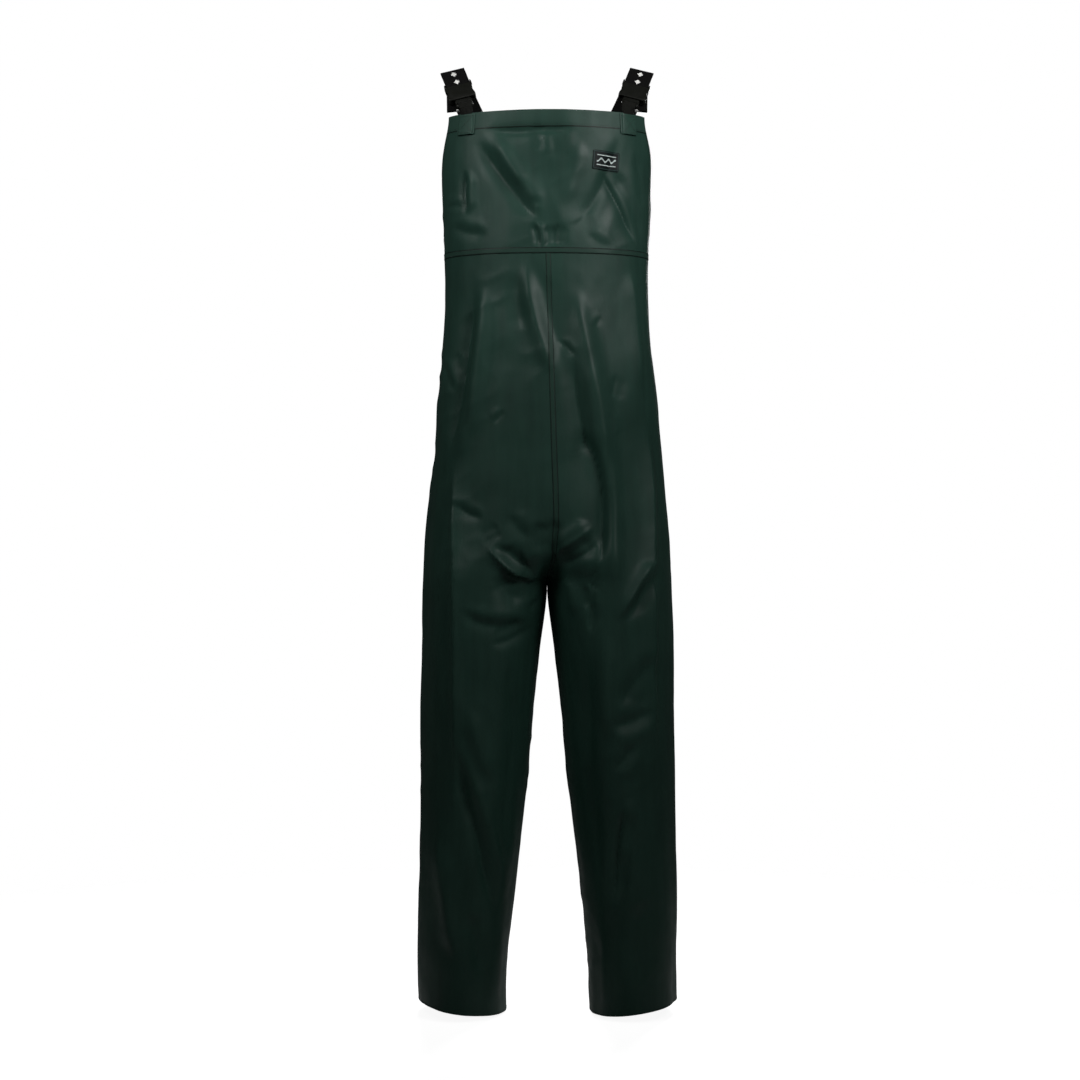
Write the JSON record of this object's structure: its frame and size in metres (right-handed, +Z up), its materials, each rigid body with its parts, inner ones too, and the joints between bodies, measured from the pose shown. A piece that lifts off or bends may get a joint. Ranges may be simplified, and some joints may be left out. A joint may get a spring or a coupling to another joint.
{
  "type": "bib-and-brace waterproof overalls",
  "caption": "Coated-cloth bib-and-brace overalls with a front bib, lower back bib, open trouser legs and elastic shoulder braces with side-release buckles.",
  "frame": {"origin": "midway between the tops of the two braces, where the wearer's shoulders or a hanger hold the garment up", "axes": "+Z up, the front faces -Y, +X is the wearer's left"},
  "size_m": [0.4006, 0.232, 1.4683],
  "materials": {
    "coated_cloth": "satin",
    "patch_cloth": "satin",
    "facing_cloth": "matte",
    "seam_tape": "satin",
    "label": "satin",
    "brace_webbing": "matte",
    "tab_webbing": "matte",
    "buckle_plastic": "satin"
  },
  "bodies": {
    "root": {"front_bib_panel": "coated_cloth", "bib_top_hem_facing": "facing_cloth", "back_bib_panel": "coated_cloth", "back_top_hem_facing": "facing_cloth", "waist_seam_tape": "seam_tape", "front_rise_tape": "seam_tape", "back_rise_tape": "seam_tape", "label_patch": "label", "left_front_leg_panel": "coated_cloth", "left_back_leg_panel": "coated_cloth", "left_leg_hem_facing": "facing_cloth", "left_inseam_tape": "seam_tape", "left_side_seam_tape": "seam_tape", "left_armhole_facing": "facing_cloth", "left_bib_corner_patch": "patch_cloth", "left_brace_anchor_patch": "patch_cloth", "left_brace": "brace_webbing", "left_bib_tab_webbing": "tab_webbing", "left_buckle_plug": "buckle_plastic", "right_front_leg_panel": "coated_cloth", "right_back_leg_panel": "coated_cloth", "right_leg_hem_facing": "facing_cloth", "right_inseam_tape": "seam_tape", "right_side_seam_tape": "seam_tape", "right_armhole_facing": "facing_cloth", "right_bib_corner_patch": "patch_cloth", "right_brace_anchor_patch": "patch_cloth", "right_brace": "brace_webbing", "right_bib_tab_webbing": "tab_webbing", "right_buckle_plug": "buckle_plastic"},
    "left_socket": {"left_buckle_socket": "buckle_plastic"},
    "left_tail": {"left_brace_tail": "brace_webbing"},
    "left_outer_prong": {"left_buckle_outer_prong": "buckle_plastic"},
    "left_inner_prong": {"left_buckle_inner_prong": "buckle_plastic"},
    "right_socket": {"right_buckle_socket": "buckle_plastic"},
    "right_tail": {"right_brace_tail": "brace_webbing"},
    "right_outer_prong": {"right_buckle_outer_prong": "buckle_plastic"},
    "right_inner_prong": {"right_buckle_inner_prong": "buckle_plastic"}
  },
  "joints": [
    {"name": "left_buckle_release", "type": "slide", "parent": "root", "child": "left_socket", "axis": [0.2523, 0.6028, 0.757], "range_m": [0, 0.028], "deforming": ["left_brace"]},
    {"name": "left_brace_adjust", "type": "slide", "parent": "left_socket", "child": "left_tail", "axis": [-0.0294, -0.6043, -0.7962], "range_m": [-0.016, 0.006]},
    {"name": "left_outer_prong_squeeze", "type": "hinge", "parent": "root", "child": "left_outer_prong", "pos_m": [0.13902, -0.04402, -0.05686], "axis": [0.1002, -0.7944, 0.5991], "range_deg": [0, 14.5]},
    {"name": "left_inner_prong_squeeze", "type": "hinge", "parent": "root", "child": "left_inner_prong", "pos_m": [0.12073, -0.04259, -0.0519], "axis": [-0.1002, 0.7944, -0.5991], "range_deg": [0, 14.5]},
    {"name": "right_buckle_release", "type": "slide", "parent": "root", "child": "right_socket", "axis": [-0.2523, 0.6028, 0.757], "range_m": [0, 0.028], "deforming": ["right_brace"]},
    {"name": "right_brace_adjust", "type": "slide", "parent": "right_socket", "child": "right_tail", "axis": [0.0294, -0.6043, -0.7962], "range_m": [-0.016, 0.006]},
    {"name": "right_outer_prong_squeeze", "type": "hinge", "parent": "root", "child": "right_outer_prong", "pos_m": [-0.13902, -0.04402, -0.05686], "axis": [0.1002, 0.7944, -0.5991], "range_deg": [0, 14.5]},
    {"name": "right_inner_prong_squeeze", "type": "hinge", "parent": "root", "child": "right_inner_prong", "pos_m": [-0.12073, -0.04259, -0.0519], "axis": [-0.1002, -0.7944, 0.5991], "range_deg": [0, 14.5]}
  ],
  "couplings": [
    {"joint": "left_outer_prong_squeeze", "follows": "left_buckle_release", "rad_per_m": 8.7266},
    {"joint": "left_inner_prong_squeeze", "follows": "left_buckle_release", "rad_per_m": 8.7266},
    {"joint": "right_outer_prong_squeeze", "follows": "right_buckle_release", "rad_per_m": 8.7266},
    {"joint": "right_inner_prong_squeeze", "follows": "right_buckle_release", "rad_per_m": 8.7266}
  ]
}
